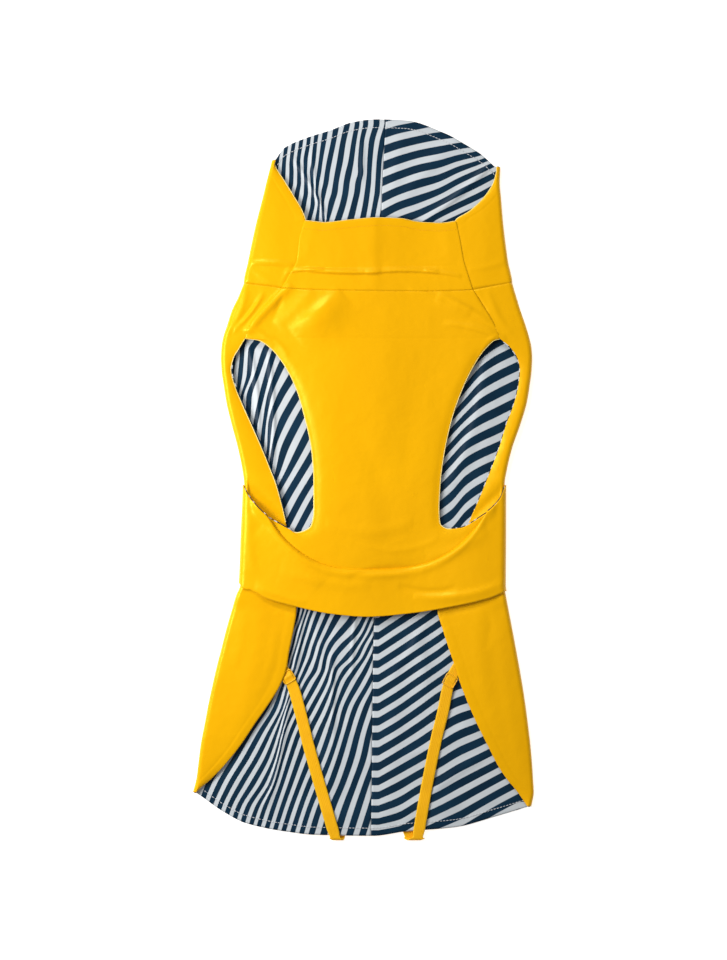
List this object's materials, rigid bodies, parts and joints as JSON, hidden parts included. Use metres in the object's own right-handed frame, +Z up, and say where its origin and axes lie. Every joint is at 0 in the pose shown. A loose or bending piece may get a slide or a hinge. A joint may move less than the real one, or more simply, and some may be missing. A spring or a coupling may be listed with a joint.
{
  "type": "dog raincoat",
  "caption": "Lined waterproof coat for a dog, laid flat belly side up, with stand collar, chest panel, wrap belly band and rear leg straps.",
  "frame": {"origin": "on the surface the coat lies on, under the middle of the coat's bounding box", "axes": "+Z up from the surface, +Y along the centre back from tail to neck, +X to the right as the coat lies belly side up (the dog's right)"},
  "size_m": [0.2722, 0.5768, 0.0102],
  "materials": {
    "shell": "smooth coated rainwear cloth, soft sheen, yellow",
    "lining": "smooth woven lining, diagonal navy and off-white stripes of equal width",
    "tape": "woven elastic tape, fine lengthwise ribs, yellow",
    "slider": "smooth moulded plastic, yellow"
  },
  "bodies": {
    "root": {"back_panel": "shell", "collar_back": "shell", "collar_front": "shell", "chest_panel": "shell", "belly_band": "shell", "lining_left": "lining", "lining_right": "lining", "collar_lining_left": "lining", "collar_lining_right": "lining", "leg_strap_left": "tape", "leg_strap_right": "tape", "strap_slider_left": "slider", "strap_slider_right": "slider"}
  },
  "joints": []
}
